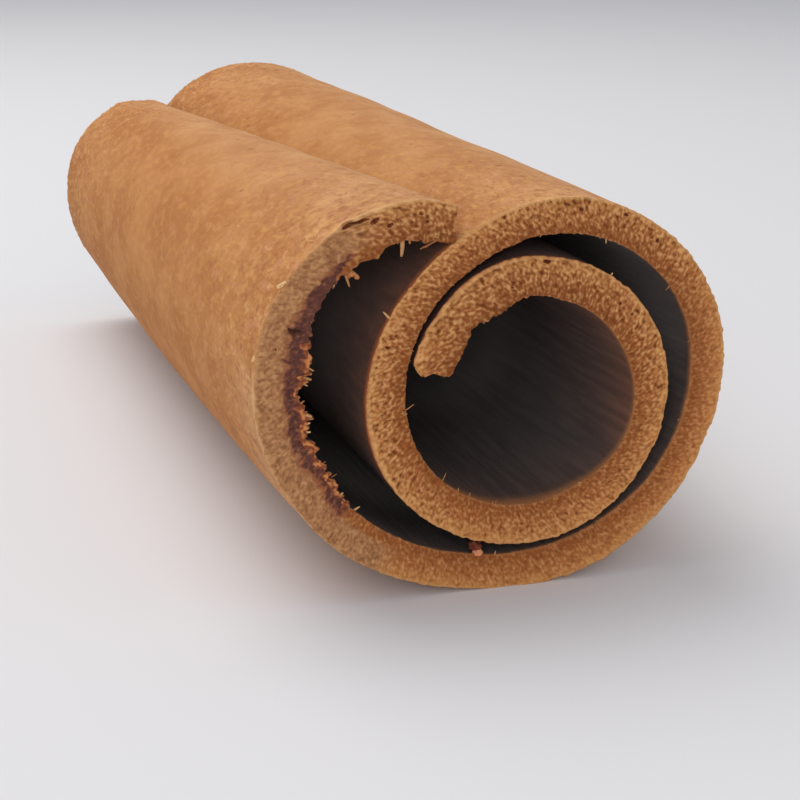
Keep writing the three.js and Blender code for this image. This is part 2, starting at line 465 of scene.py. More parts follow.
def relief(flat, row, ply):
    """Height of the surface's grain over the flat shape, how raised each place is, from 0 to 1,
    and how far down a pit it lies, from 0 to 1.

    Sawn faces: worm-like ridges between pits, or fine streaks through the bark where the grain is
    close. Outer face: sand, crinkles across the quill, long scraped facets and slow swells. Inner
    face: long fibres and swells."""
    along, down, deep, row, ply = np.broadcast_arrays(*split(flat), row, ply)
    bearing, radius, thick = row_at(along, down)
    share = PLY[ply]
    sawn = np.maximum((row == 0) | (row == LAST_ROW), np.exp(-((FROM_SAW[row] / 0.12) ** 2)))
    fine = np.clip(0.25 / ROW_STEP[row], 0, 1) ** 2

    slanted = joined(along + 0.5 * deep, down * 0.6, deep)
    strands = 0.65 * ripple(slanted, (0.2, 1, 0.28), 41) + 0.35 * ridges(slanted, (0.36, 1, 0.48), 44)
    holes = smooth(rough(slanted, (0.26, 1, 0.28), 47), 0.58, 0.76)
    streaks = rough(joined(along, down * 0.6, deep), (0.19, 1, 0.55), 43) - 0.5
    patchy = 0.6 + 0.8 * rough(joined(along, 0, deep), 2.5, 53)
    first_turn = 1 - smooth(bearing, 455, 480)
    openness = at_knots(bearing, OPEN_GRAIN) * patchy
    openness = openness * (1 - 0.6 * first_turn * smooth(share, 0.45, 0.75))
    openness = openness * (1 - 0.3 * (1 - first_turn) * smooth(share, 0.6, 0.9))
    dips = pits_at(bearing, radius, share, thick, down)
    raised = 0.5 + (0.35 + 0.65 * openness) * (0.9 * (strands - 0.5) - 0.2 * holes + 0.02)
    raised = raised + 0.35 * (1 - 0.6 * openness) * streaks - 1.6 * dips
    raised = np.clip(raised, 0, 1)
    cut_height = (0.25 + 0.75 * openness) * (0.026 * (strands - 0.5) - 0.01 * holes) + 0.008 * streaks

    sand = rough(flat, 0.2, 59) - 0.5
    crinkle = ridges(flat, (0.6, 1.0, 1), 61) - 0.5
    facets = rough(flat, (1.8, 26, 5), 67) - 0.5
    swell = rough(flat, (7, 11, 9), 71) - 0.5
    fibre = rough(flat, (0.4, 9, 5), 73, 3) - 0.5
    skin_height = fine * (0.025 * sand + 0.02 * crinkle) + 0.05 * facets + 0.2 * swell
    lining_height = fine * 0.02 * sand + 0.08 * fibre + 0.2 * swell
    face_height = np.where(ply == 0, skin_height, lining_height)
    height = sawn * (cut_height + 0.2 * swell) + (1 - sawn) * face_height
    return height, raised, np.clip(dips / 0.3, 0, 1)


def normals_of(grid, wrap):
    """Unit normals of a grid of places: the step across it crossed with the step along it."""
    if wrap:
        around = np.roll(grid, -1, 1) - np.roll(grid, 1, 1)
    else:
        around = np.gradient(grid, axis=1)
    return unit(np.cross(around, np.gradient(grid, axis=0)))


def marks_of(flat, row, ply, raised, pitted):
    """What the finish reads at each place, each from 0 to 1: whether it is sawn or broken bark,
    lines the roll or is covered by its outer turn, how raised its grain is, how far down a pit
    and how far through the bark it lies, how calm, stained, torn, open, browned or ruddy it is,
    how much painted light from the nearest sawn end it gets, close to the rim and further in, how
    much painted shade it gets in the gap under the top of the roll, and how much painted fill
    light turns it paler deep inside."""
    along, down, _, row, ply = np.broadcast_arrays(*split(flat), row, ply)
    bearing = row_at(along, down)[0]
    share, from_saw, at_near = PLY[ply], FROM_SAW[row], ROWS[row] < NEAR_PART
    is_outer, is_lining = ply == 0, ply == PLIES
    side = np.where(is_outer | is_lining, from_saw, 0)
    edge = np.minimum(along, STRIP - along)
    sawn = 1 - smooth(np.minimum(side, np.maximum(edge - 0.1, 0)), 0.02, 0.13)
    flap_edge = 360 + np.interp(down, (0, LENGTH), (NEAR_SCROLL[0, 0], FAR_SCROLL[0, 0]))
    stain, lip, crack = torn_wall(along, bearing, share)
    torn = band(bearing, *TORN) * at_near * (1 - smooth(from_saw, 0.8, 2.2))
    calm = at_near * band(bearing, *CALM) * (1 - smooth(share, 0.6, 0.8))
    covered = smooth(bearing, flap_edge + 1, flap_edge + 9) * is_outer
    rim_reach, half_reach = (
        np.where(is_lining, at_knots(bearing, lining), skin)
        + covered * (at_knots(bearing, under) - skin)
        for lining, under, skin in ((RIM_LIT, COVERED_RIM_LIT, SKIN_RIM_LIT),
                                    (HALF_LIT, COVERED_HALF_LIT, SKIN_HALF_LIT)))
    worn = at_near * band(bearing, *WORN) * (1 - smooth(from_saw, 2, 7))
    ruddy = at_knots(bearing, RUDDY) * (1 - 0.9 * worn)
    ruddy = np.where(is_lining, at_knots(bearing, RUDDY_LINING), ruddy)
    return {
        "sawn": sawn,
        "lining": is_lining,
        "covered": covered,
        "raised": raised,
        "pitted": pitted * at_near,
        "across": share,
        "calm": calm,
        "stained": torn * np.maximum(stain, crack),
        "torn": torn * lip,
        "open": np.clip(at_knots(bearing, OPEN_GRAIN) * (1 - 0.5 * smooth(share, 0.5, 0.9)), 0, 1),
        "browned": at_knots(bearing, BROWNED),
        "ruddy": ruddy,
        # Painted light from the nearest sawn end: close to the rim, and further in.
        "rim_lit": 1 - smooth(from_saw / rim_reach, 0, 1),
        "half_lit": np.exp(-from_saw / half_reach),
        # Painted shade: the covered outer face in the gap under the top of the roll.
        "gap_shade": smooth(bearing, 790, 830) * is_outer,
        # Painted fill light: paler deep inside the roll.
        "pale": at_knots(bearing, PAINTED_FILL_SHARE) * smooth(from_saw - at_knots(bearing, PAINTED_FILL_FROM), 0, 9),
    }


# The skin: a grid of columns by ring places, rolled up and then grained, with its marks.
SKIN_FLAT = strip_places(COLUMNS[:, None], RING_ROW, RING_PLY)
HEIGHT, RAISED, PITTED = relief(SKIN_FLAT, RING_ROW, RING_PLY)
SKIN = roll(SKIN_FLAT)
SKIN = SKIN + normals_of(SKIN, True) * HEIGHT[..., None]
SKIN[..., 2] = np.maximum(SKIN[..., 2], 0)
SKIN_FIELDS = {
    "place": SKIN, "flat_place": SKIN_FLAT * MM, "normal": normals_of(SKIN, True),
    **marks_of(SKIN_FLAT, RING_ROW, RING_PLY, RAISED, PITTED),
}


def wall_across(grid, column):
    """The strip cut through at a column: rows by plies, filled in from the skin round it as the
    sum of the straight fills each way, less the fill between the four corners."""
    wall = np.zeros((LAST_ROW + 1, PLIES + 1, grid.shape[-1]))
    wall[RING_ROW, RING_PLY] = grid[column]
    down = (ROWS / LENGTH)[:, None, None]
    ply = PLY[:, None]
    across = wall[:, :1] * (1 - ply) + wall[:, -1:] * ply
    lengthwise = wall[:1] * (1 - down) + wall[-1:] * down
    near = wall[:1, :1] * (1 - ply) + wall[:1, -1:] * ply
    far = wall[-1:, :1] * (1 - ply) + wall[-1:, -1:] * ply
    return across + lengthwise - near * (1 - down) - far * down


def wall_fields(column, turn, broken):
    """What new_piece needs of a wall across the strip, without the skin round it. It faces back
    along the strip where turn is 1 and on along it where turn is -1. A broken wall is one of the
    strip's own edges, and is grained where its rows are close."""
    row = np.arange(LAST_ROW + 1)[:, None]
    ply = np.arange(PLIES + 1)
    wall, flat = wall_across(SKIN, column), wall_across(SKIN_FLAT, column)
    normal = turn * normals_of(wall, False)
    height, raised, pitted = relief(flat, 0, ply)
    if broken:
        inset = smooth(np.minimum(ply, PLIES - ply), 0, 3)
        fine = np.clip(0.35 / ROW_STEP, 0, 1)[:, None]
        wall = wall + normal * (height * inset * fine)[..., None]
    fields = {
        "place": wall, "flat_place": flat * MM, "normal": normal,
        **marks_of(flat, row, ply, raised, pitted), "sawn": np.ones_like(raised),
    }
    return {name: grid[1:-1, 1:-1] for name, grid in fields.items()}


# ---- putting meshes together

def in_scene(name, data):
    """An object in the scene."""
    thing = bpy.data.objects.new(name, data)
    bpy.context.scene.collection.objects.link(thing)
    return thing


def new_piece(name, places, faces, material, marks, normals=None):
    """A mesh object at the origin from places in millimetres and faces with one corner count."""
    corners = faces.shape[1]
    mesh = bpy.data.meshes.new(name)
    mesh.vertices.add(len(places))
    mesh.vertices.foreach_set("co", (places * MM).astype(np.float32).ravel())
    mesh.loops.add(faces.size)
    mesh.loops.foreach_set("vertex_index", faces.astype(np.int32).ravel())
    mesh.polygons.add(len(faces))
    mesh.polygons.foreach_set("loop_start", np.arange(len(faces), dtype=np.int32) * corners)
    mesh.update(calc_edges=True)
    mesh.polygons.foreach_set("use_smooth", np.ones(len(faces), bool))
    for label, values in marks.items():
        kind, field = ("FLOAT_VECTOR", "vector") if values.ndim == 2 else ("FLOAT", "value")
        layer = mesh.attributes.new(label, kind, "POINT")
        layer.data.foreach_set(field, values.astype(np.float32).ravel())
    mesh.materials.append(material)
    piece = in_scene(name, mesh)
    if normals is not None:
        mesh.normals_split_custom_set_from_vertices(normals.astype(np.float32).tolist())
    return piece


def grid_faces(index):
    """A grid's values at the corners of its four-cornered faces, which run across first and then
    along."""
    return joined(index[:-1, :-1], index[:-1, 1:], index[1:, 1:], index[1:, :-1]).reshape(-1, 4)


# Bands of the bake map, each the full width: share of its height where it starts and ends.
MAP_BANDS = {
    "outer": (0.01, 0.29), "inner": (0.31, 0.59), "near": (0.61, 0.76), "far": (0.78, 0.93),
    "start": (0.945, 0.965), "end": (0.975, 0.995),
}


def band_map(patch, wide, high):
    """Map places, face by face and corner by corner, for a patch's grid: wide and high, each 0 to
    1, laid into the patch's band."""
    low, top = MAP_BANDS[patch]
    u, v = np.broadcast_arrays(0.01 + 0.98 * wide, low + (top - low) * high)
    return joined(grid_faces(u), grid_faces(v))


def bark_stretch(number, material):
    """One closed stretch of the strip: its part of the skin and a wall across it at each end."""
    columns = np.arange(PER_STRETCH + 1) + number * PER_STRETCH
    skin_index = np.arange(len(columns) * RING).reshape(-1, RING)
    wrapped = np.concatenate([skin_index, skin_index[:, :1]], 1)
    ring_down = ROWS[np.append(RING_ROW, 0)] / LENGTH
    stretch_along = np.linspace(0, 1, len(columns))[:, None]
    corners = [0, LAST_ROW, LAST_ROW + PLIES, 2 * LAST_ROW + PLIES, RING]
    faces, maps = [], []
    for patch, start, stop in zip(("outer", "far", "inner", "near"), corners, corners[1:]):
        faces.append(grid_faces(wrapped[:, start:stop + 1]))
        if patch in ("outer", "inner"):
            maps.append(band_map(patch, ring_down[start:stop + 1], stretch_along))
        else:
            maps.append(band_map(patch, stretch_along, np.linspace(0, 1, stop - start + 1)))

    parts = [{name: grid[columns] for name, grid in SKIN_FIELDS.items()}]
    inside = np.arange((LAST_ROW - 1) * (PLIES - 1)).reshape(LAST_ROW - 1, -1)
    for side, end, turn, edge in (("start", 0, 1, 0), ("end", -1, -1, STRETCHES - 1)):
        parts.append(wall_fields(columns[end], turn, number == edge))
        index = np.zeros((LAST_ROW + 1, PLIES + 1), int)
        index[RING_ROW, RING_PLY] = skin_index[end]
        index[1:-1, 1:-1] = inside + skin_index.size + (inside.size if side == "end" else 0)
        faces.append(grid_faces(index)[:, ::turn])
        maps.append(band_map(side, (ROWS / LENGTH)[:, None], PLY)[:, ::turn])

    fields = {name: np.concatenate([part[name].reshape(-1, *part[name].shape[2:]) for part in parts])
              for name in SKIN_FIELDS}
    piece = new_piece(f"bark_stretch_{number + 1}", fields.pop("place"), np.concatenate(faces),
                      material, normals=fields.pop("normal"), marks=fields)
    layer = piece.data.uv_layers.new(name="OFBake")
    layer.uv.foreach_set("vector", np.concatenate(maps).astype(np.float32).ravel())
    return piece


def closed_tubes(rings, poles):
    """Tubes from their rings, each closed by a pole past its first and its last ring: the places,
    and three-cornered faces. They look outwards where a ring turns right-handed about the tube's
    run, and inwards where it turns left-handed."""
    count, length, sides = rings.shape[:3]
    own = length * sides + 2
    places = np.concatenate([rings.reshape(count, -1, 3), poles], 1).reshape(-1, 3)
    ring = np.arange(own - 2).reshape(length, sides)
    beside = np.roll(ring, -1, 1)
    triangles = np.concatenate([
        joined(ring[:-1], beside[:-1], beside[1:]).reshape(-1, 3),
        joined(ring[:-1], beside[1:], ring[1:]).reshape(-1, 3),
        joined(beside[0], ring[0], own - 2), joined(ring[-1], beside[-1], own - 1)])
    return places, (triangles + np.arange(count)[:, None, None] * own).reshape(-1, 3)


def spikes(name, roots, aims, lengths, widths, bends, material, tones):
    """Splinters as one mesh. Each runs from its root along its aim, bending sideways with the
    square of the way out, as a flat five-sided tube that narrows by a power of the way out."""
    roots, aims, bends = roots[:, None, None], aims[:, None, None], bends[:, None, None]
    rings, sides = 6, 5
    out = np.linspace(0, 1, rings)[:, None, None]
    turn = np.arange(sides)[:, None] * 2 * np.pi / sides
    long = lengths[:, None, None, None] * out
    path = roots + aims * long + bends * long * out
    flat_way = unit(np.cross(aims, bends + [0.01, 0.02, 0.03]))
    tube = flat_way * np.cos(turn) + 0.6 * np.cross(aims, flat_way) * np.sin(turn)
    taper = widths[:, None, None, None] * (1 - 0.5 * out**2.2)
    poles = np.concatenate([path[:, 0] - aims[:, 0] * 0.02, path[:, -1] + aims[:, 0] * 0.02], 1)
    places, faces = closed_tubes(path + tube * taper / 2, poles)
    marks = {"tone": np.repeat(tones, len(places) // len(tones)), "flat_place": places * MM}
    return new_piece(name, places, faces, material, marks)


def lumps(name, centres, sizes, tones, material, salt):
    """Crumbs as one mesh. Each is a ball of rings and sides whose radius is raised and sunk by
    noise, pulled out to its size each way, and closed by a pole at each end."""
    rings, sides = 12, 18
    tilt = np.linspace(0, np.pi, rings + 2)[1:-1, None]
    turn = np.linspace(0, 2 * np.pi, sides, endpoint=False)
    ball = joined(np.sin(tilt) * np.cos(turn), np.sin(tilt) * np.sin(turn), np.cos(tilt))
    ball = np.concatenate([ball.reshape(-1, 3), [[0, 0, 1.0], [0, 0, -1.0]]])
    apart = np.arange(len(centres))[:, None, None] * 9.0
    radius = 0.6 + 0.8 * rough(ball + 7 + apart, 0.8, salt, 3)
    places = centres[:, None] + ball * radius[..., None] * sizes[:, None] / 2
    places, faces = closed_tubes(places[:, :-2].reshape(-1, rings, sides, 3), places[:, -2:])
    tone = np.repeat(tones, len(ball)) + 0.5 * (rough(places, 0.25, salt + 3) - 0.5)
    marks = {"tone": np.clip(tone, 0, 1), "flat_place": places * MM}
    outward = faces[:, ::-1]
    return new_piece(name, places, outward, material, marks)


# ---- finishes

def shade(red, green, blue):
    """A screen colour, 0 to 255, as the linear colour that shaders use."""
    screen = np.array([red, green, blue]) / 255
    linear = np.where(screen <= 0.04045, screen / 12.92, ((screen + 0.055) / 1.055) ** 2.4)
    return (*linear.tolist(), 1.0)


def put(tree, socket, value):
    """Links a socket's input, or sets it where the value is plain."""
    if isinstance(value, bpy.types.NodeSocket):
        tree.links.new(value, socket)
    else:
        socket.default_value = value


def add(tree, kind, inputs=(), **settings):
    """A node with its settings, and its inputs set to values or linked from sockets."""
    node = tree.nodes.new(kind)
    for name, value in settings.items():
        setattr(node, name, value)
    for name, value in dict(inputs).items():
        put(tree, node.inputs[name], value)
    return node


def mark(tree, name, output="Fac"):
    """One of the piece's own marks."""
    return add(tree, "ShaderNodeAttribute", attribute_name=name).outputs[output]


def blend(amount, first, second):
    """Two colours, as sockets or as screen colours, blended by an amount."""
    first, second = (shade(*part) if isinstance(part, tuple) else part for part in (first, second))
    inputs = {0: amount, 6: first, 7: second}
    return add(amount.id_data, "ShaderNodeMix", inputs, data_type="RGBA").outputs[2]


def layered(colour, *layers):
    """A colour with others laid over it in turn, each given as (amount, colour)."""
    for amount, over in layers:
        colour = blend(amount, colour, over)
    return colour


def sums(how, first, second=0.5):
    """Arithmetic on two numbers, at least one of them a socket."""
    socket = first if isinstance(first, bpy.types.NodeSocket) else second
    return add(socket.id_data, "ShaderNodeMath", {0: first, 1: second}, operation=how).outputs[0]


def times(*numbers):
    """The product of some numbers, the first of them a socket."""
    product = numbers[0]
    for number in numbers[1:]:
        product = sums("MULTIPLY", product, number)
    return product


def span(value, low, high, to_low=0.0, to_high=1.0):
    """A number eased from one span to another."""
    return add(value.id_data, "ShaderNodeMapRange", {
        "Value": value, "From Min": low, "From Max": high, "To Min": to_low, "To Max": to_high,
    }, interpolation_type="SMOOTHSTEP").outputs["Result"]


def stretched(place, along, down, deep):
    """Places divided by a pattern's size each way, in millimetres."""
    return add(place.id_data, "ShaderNodeVectorMath", {
        0: place, 1: (1 / (along * MM), 1 / (down * MM), 1 / (deep * MM)),
    }, operation="MULTIPLY").outputs[0]


def clouds(place, detail=2.0, keep=0.5, warp=0.0):
    """Soft noise, one cell to each unit of place."""
    return add(place.id_data, "ShaderNodeTexNoise", {
        "Vector": place, "Scale": 1.0, "Detail": detail, "Roughness": keep, "Distortion": warp,
    }).outputs["Fac"]


def from_cell(place):
    """How far each place is from the nearest of scattered points, one to each unit of place."""
    return add(place.id_data, "ShaderNodeTexVoronoi", {
        "Vector": place, "Scale": 1.0}, feature="F1").outputs["Distance"]


def grit_group():
    """Grit: fine grains of bark in two sizes, as a mask of light grains, a mask of dark pores and
    a height for bumps."""
    group = bpy.data.node_groups.new("bark grit", "ShaderNodeTree")
    for label, direction, kind in (
            ("Place", "INPUT", "Vector"), ("Size", "INPUT", "Float"), ("Light", "OUTPUT", "Float"),
            ("Dark", "OUTPUT", "Float"), ("Height", "OUTPUT", "Float")):
        group.interface.new_socket(label, in_out=direction, socket_type="NodeSocket" + kind)
    start = group.nodes.new("NodeGroupInput").outputs
    per_size = sums("DIVIDE", 1 / MM, start["Size"])
    sized = add(group, "ShaderNodeVectorMath", {
        0: start["Place"], "Scale": per_size}, operation="SCALE").outputs[0]
    cells = from_cell(sized)
    fine = clouds(sized, 3.0, 0.6, 0.6)
    pores = times(span(fine, 0.52, 0.34), span(cells, 0.2, 0.6))
    light = times(span(fine, 0.5, 0.72), span(cells, 0.75, 0.3))
    height = sums("SUBTRACT", fine, times(pores, 0.6))
    add(group, "NodeGroupOutput", {"Light": light, "Dark": pores, "Height": height})
    return group


def grit_over(place, group, size):
    """The grit at places, its grains of one size in millimetres."""
    inputs = {"Place": place, "Size": size}
    return add(place.id_data, "ShaderNodeGroup", inputs, node_tree=group).outputs


def new_finish(name, roughness):
    """A material with a plain matt shader, and its node tree and shader."""
    material = bpy.data.materials.new(name)
    material.use_nodes = True
    shader = material.node_tree.nodes["Principled BSDF"]
    shader.inputs["Roughness"].default_value = roughness
    shader.inputs["Specular IOR Level"].default_value = 0.2
    return material, material.node_tree, shader


def give(shader, colour, height, strength, distance):
    """Gives a shader its colour, and bumps of a height times a distance."""
    tree = shader.id_data
    bump = add(tree, "ShaderNodeBump", {"Height": height, "Strength": strength, "Distance": distance})
    put(tree, shader.inputs["Base Color"], colour)
    put(tree, shader.inputs["Normal"], bump.outputs["Normal"])


def skin_colour(tree, place, grit):
    """Scraped outer bark: orange tan with paler and browner patches, golden, pink and mauve
    blotches, and short crinkles and sandy grains that are sharpest near the sawn ends."""
    patches = span(clouds(stretched(place, 4, 9, 3), 3.0, 0.55), 0.36, 0.66)
    plain = blend(patches, (194, 138, 91), (210, 157, 110))
    ruddy = blend(patches, (177, 114, 59), (192, 131, 74))
    sharp = span(mark(tree, "half_lit"), 0, 1, 0.1, 1.1)
    soft = span(mark(tree, "half_lit"), 0, 1, 0.5, 1)
    golden = clouds(stretched(place, 0.6, 1.6, 0.8), 1.0)
    rosy = clouds(stretched(place, 0.9, 2.2, 1.3), 1.5)
    crinkle = clouds(stretched(place, 0.5, 1.1, 0.62), 1.5, warp=1.0)
    from_speck = from_cell(stretched(place, 2.2, 3.5, 2.2))
    return layered(
        blend(mark(tree, "ruddy"), plain, ruddy),
        (times(span(golden, 0.5, 0.7, 0, 0.5), soft), (213, 158, 90)),
        (times(span(rosy, 0.52, 0.72, 0, 0.45), soft), (205, 142, 106)),
        (times(span(rosy, 0.45, 0.28, 0, 0.6), soft), (174, 115, 76)),
        (times(span(crinkle, 0.53, 0.72, 0, 0.52), sharp), (154, 90, 50)),
        (times(span(crinkle, 0.45, 0.26, 0, 0.4), sharp), (226, 176, 118)),
        (times(grit["Dark"], 0.25, sharp), (150, 88, 50)),
        (times(grit["Light"], 0.2, sharp), (232, 184, 128)),
        (span(from_speck, 0.09, 0.05, 0, 0.5), (126, 74, 52)))


def lining_colour(tree, place, rim_lit, half_lit):
    """The inner face: neutral dark grey brown with faint long fibres, under painted light that is tan
    along the sawn rims and brown behind them."""
    fibres = span(clouds(stretched(place, 0.5, 8, 3)), 0.3, 0.7)
    plain = blend(fibres, (82, 67, 60), (98, 79, 70))
    ruddy = blend(fibres, (122, 84, 68), (146, 100, 80))
    return layered(
        blend(fibres, (84, 77, 75), (96, 87, 84)),
        # Painted fill light: paler deep inside the roll.
        (mark(tree, "pale"), (200, 188, 184)),
        (half_lit, blend(mark(tree, "ruddy"), plain, ruddy)),
        (rim_lit, (184, 122, 76)))


def shaded_covered_colour(tree, place, rim_lit, half_lit):
    """The outer face where a turn covers it, painted as the skin in shade: painted light in orange
    brown along the rims and red brown behind them, and dark grey brown further in.
    """
    streaks = span(clouds(stretched(place, 0.6, 5, 3)), 0.3, 0.7)
    return layered(
        blend(streaks, (98, 84, 78), (110, 92, 85)),
        # Painted fill light: paler deep inside the roll.
        (mark(tree, "pale"), (200, 186, 180)),
        (half_lit, blend(streaks, (102, 66, 52), (120, 78, 60))),
        # Painted shade: darker in the gap under the top of the roll.
        (times(mark(tree, "gap_shade"), 0.8), (56, 40, 40)),
        (rim_lit, (190, 108, 64)))


def strand_pattern(tree, place):
    """Strands of cut fibre, winding about a third of a millimetre apart: soft cells of two sizes,
    with ridges where slower noise passes its mean, and a little of the relief's own grain."""
    slanted = add(tree, "ShaderNodeMapping", {"Vector": place, "Rotation": (0, 0.45, 0)}).outputs[0]
    cells = clouds(stretched(slanted, 0.19, 0.4, 0.27), 0.0, warp=0.3)
    slower = clouds(stretched(slanted, 0.35, 0.7, 0.5), 0.3, warp=0.7)
    off = sums("ABSOLUTE", sums("SUBTRACT", slower, 0.5))
    ridge = span(off, 0.16, 0.0, -0.04, 0.07)
    both = sums("ADD", times(cells, 0.85), times(slower, 0.45))
    raised = times(mark(tree, "raised"), 0.14)
    return sums("SUBTRACT", sums("ADD", sums("ADD", both, ridge), raised), 0.22)


def saw_colour(tree, place, grit):
    """Sawn bark: tan near the outer face and browner inwards, with golden strands and red-brown
    hollows; greyer on the left wall, stained dark on its torn plies, and orange on the torn lip."""
    across = mark(tree, "across")
    open_grain = mark(tree, "open")
    strand = strand_pattern(tree, place)
    hue = clouds(stretched(place, 1.1, 1.1, 1.1))
    mottle = clouds(stretched(place, 0.34, 0.6, 0.42), 1.0, warp=0.9)
    mottle = sums("ADD", times(strand, 0.5), times(mottle, 0.5))
    golden = times(span(strand, 0.46, 0.82), span(open_grain, 0, 1, 0.38, 0.72),
                   span(across, 0.4, 0.95, 1, 0.76))
    hollow = times(span(strand, 0.56, 0.1), span(open_grain, 0, 1, 0.4, 1))
    calm = layered(
        blend(span(hue, 0.35, 0.65), (156, 108, 71), (167, 119, 79)),
        (span(mottle, 0.48, 0.68, 0, 0.6), (198, 150, 104)),
        (span(mottle, 0.52, 0.32, 0, 0.65), (116, 74, 50)))
    pitted = mark(tree, "pitted")
    pit_lip = times(span(pitted, 0.05, 0.2), span(pitted, 0.5, 0.3, 0, 0.5))
    # Pit floors: darker red brown with their depth, partly their own colour and partly painted shade.
    pit_floor = times(pitted, span(strand, 0.25, 0.75, 1.2, 0.7))
    stained = times(mark(tree, "stained"), span(strand, 0.25, 0.75, 1.1, 0.9))
    stain = layered(
        blend(span(mottle, 0.35, 0.65), (80, 47, 42), (106, 62, 49)),
        (span(strand, 0.62, 0.9, 0, 0.35), (176, 124, 84)))
    rimwards = sums("ADD", across, clouds(stretched(place, 0.34, 0.6, 0.3), 0.5, warp=0.5))
    # The torn lip: orange towards the rim, and dark red at its foot by the sunk stain, partly its own
    # colour and partly painted shade.
    lip = blend(span(rimwards, 1.36, 1.64), (122, 58, 40), (204, 132, 78))
    return layered(
        blend(span(across, 0.05, 0.5), (188, 126, 71), (165, 101, 55)),
        (span(across, 0.45, 1.0), (139, 78, 36)),
        (span(hue, 0.45, 0.75, 0, 0.3), (170, 94, 44)),
        (mark(tree, "browned"), (112, 61, 26)),
        (golden, (220, 166, 108)),
        (hollow, (99, 48, 16)),
        (times(grit["Dark"], 0.06), (104, 58, 32)),
        (span(across, 0.05, 0.0, 0, 0.4), (214, 164, 106)),
        (times(mark(tree, "calm"), 0.85), calm),
        (pit_lip, (218, 168, 112)),
        (span(pit_floor, 0.3, 1.0, 0, 0.9), (116, 48, 26)),
        (times(span(stained, 0.03, 0.4), 0.6), (140, 80, 54)),
        (span(stained, 0.35, 0.9), stain),
        (times(mark(tree, "torn"), 0.9), lip))


def bark_finish(grit_tree):
    """The quill's one material: skin, sawn bark and dark lining, chosen by the bark's marks."""
    material, tree, shader = new_finish("bark", 0.86)
    place = mark(tree, "flat_place", "Vector")
    grit = grit_over(place, grit_tree, 0.18)
    skin_grit = grit_over(stretched(place, 1 / MM, 3 / MM, 1 / MM), grit_tree, 0.22)
    sawn, rim_lit, half_lit = (mark(tree, name) for name in ("sawn", "rim_lit", "half_lit"))
    colour = layered(
        skin_colour(tree, place, skin_grit),
        # Painted highlight: a pale band on the skin along the sawn rims, fainter on ruddy flanks.
        (times(rim_lit, span(mark(tree, "ruddy"), 0.2, 1, 0.5, 0.15)), (228, 182, 128)),
        # Where a turn covers the outer face, it is painted as the skin in shade.
        (mark(tree, "covered"), shaded_covered_colour(tree, place, rim_lit, half_lit)),
        # The inner face, with painted light along its sawn rims and a painted paler fill deep inside.
        (mark(tree, "lining"), lining_colour(tree, place, rim_lit, half_lit)),
        (sawn, saw_colour(tree, place, grit)))

    crinkle = clouds(stretched(place, 0.5, 1.0, 0.5), warp=1.0)
    skin_bump = sums("ADD", times(crinkle, 0.035), times(skin_grit["Height"], 0.015))
    saw_bump = times(grit["Height"], 0.008)
    height = add(tree, "ShaderNodeMix", {0: sawn, 2: skin_bump, 3: saw_bump}, data_type="FLOAT")
    give(shader, colour, height.outputs[0], 0.9, MM)
    put(tree, shader.inputs["Roughness"], span(grit["Height"], 0.3, 0.7, 0.95, 0.8))
    return material


def loose_finish(name, grit_tree, dark, light, size):
    """Splinters and crumbs: two colours by each one's own tone, with bark grit over them."""
    material, tree, shader = new_finish(name, 0.85)
    grit = grit_over(mark(tree, "flat_place", "Vector"), grit_tree, size)
    colour = layered(
        blend(mark(tree, "tone"), dark, light), (times(grit["Dark"], 0.4), (110, 64, 38)))
    give(shader, colour, grit["Height"], 0.5, 0.05 * MM)
    return material


# ---- the quill

grit = grit_group()
bark = bark_finish(grit)
splinter_finish = loose_finish("splinter", grit, (160, 92, 52), (228, 184, 130), 0.12)
nodule_finish = loose_finish("nodule", grit, (170, 92, 48), (222, 158, 98), 0.15)
crumb_finish = loose_finish("crumb", grit, (100, 42, 32), (228, 152, 110), 0.2)

whole_quill = [bark_stretch(number, bark) for number in range(STRETCHES)]


def place_at(bearing, share, down, off=0.0):
    """Places on the rolled strip at bearings at the near end, shares and distances down the quill,
    and off the rim's lean, as flat places."""
    shares = np.linspace(0, 1, 4001)
    share_round = np.interp(bearing, scroll_row(shares, shares * 0)[:, 0], shares)
    along = np.interp(share_round, SHARES, ALONG)
    bearing, _, thick = row_at(along, down)
    lean = at_knots(bearing, RIM_LEAN) * smooth(share, 0.5, 1)
    return joined(along, down, thick * share + lean + off)


ROOT_DEPTH, BEND = 0.1, 0.06  # of a splinter: in millimetres, and as a share of its length


def splinters(name, rows, salt):
    """Splinters of one kind, from rows of bearing, share, length, width, swing and forward. Each
    stands off the nearer face, swung by that many degrees towards growing bearings, and leans
    towards the near end by forward times its length."""
    draw = np.random.default_rng(salt)
    bearing, share, length, width, swing, forward = np.array(rows).T
    count = len(bearing)
    down = draw.uniform(0.08, 0.4, count)
    sign = np.where(share > 0.5, 1.0, -1.0)
    flat = place_at(bearing, share, down, -ROOT_DEPTH * sign)
    roots = roll(flat)
    off = roll(flat + joined(0, 0, sign)) - roots
    across = unit(roll(flat + [0.5, 0, 0]) - roll(flat - [0.5, 0, 0]))
    swing = np.radians(swing)[:, None]
    aims = unit(off * np.cos(swing) + across * np.sin(swing) - [[0, 1, 0]] * forward[:, None])
    bends = draw.normal(0, BEND, (count, 3))
    return spikes(name, roots, aims, length + ROOT_DEPTH, width, bends, splinter_finish,
                  draw.random(count))


def scattered(count, from_bearing, to_bearing, reach, width, salt):
    """Rows for splinters scattered along the inner rim between two bearings, each of its own
    length, width and swing round the given ones."""
    draw = np.random.default_rng(salt)
    return joined(
        draw.uniform(from_bearing, to_bearing, count), 1.0,
        reach * draw.lognormal(0, 0.35, count), width * draw.uniform(0.7, 1.3, count),
        draw.normal(0, 25, count), draw.uniform(-0.3, 0.5, count))


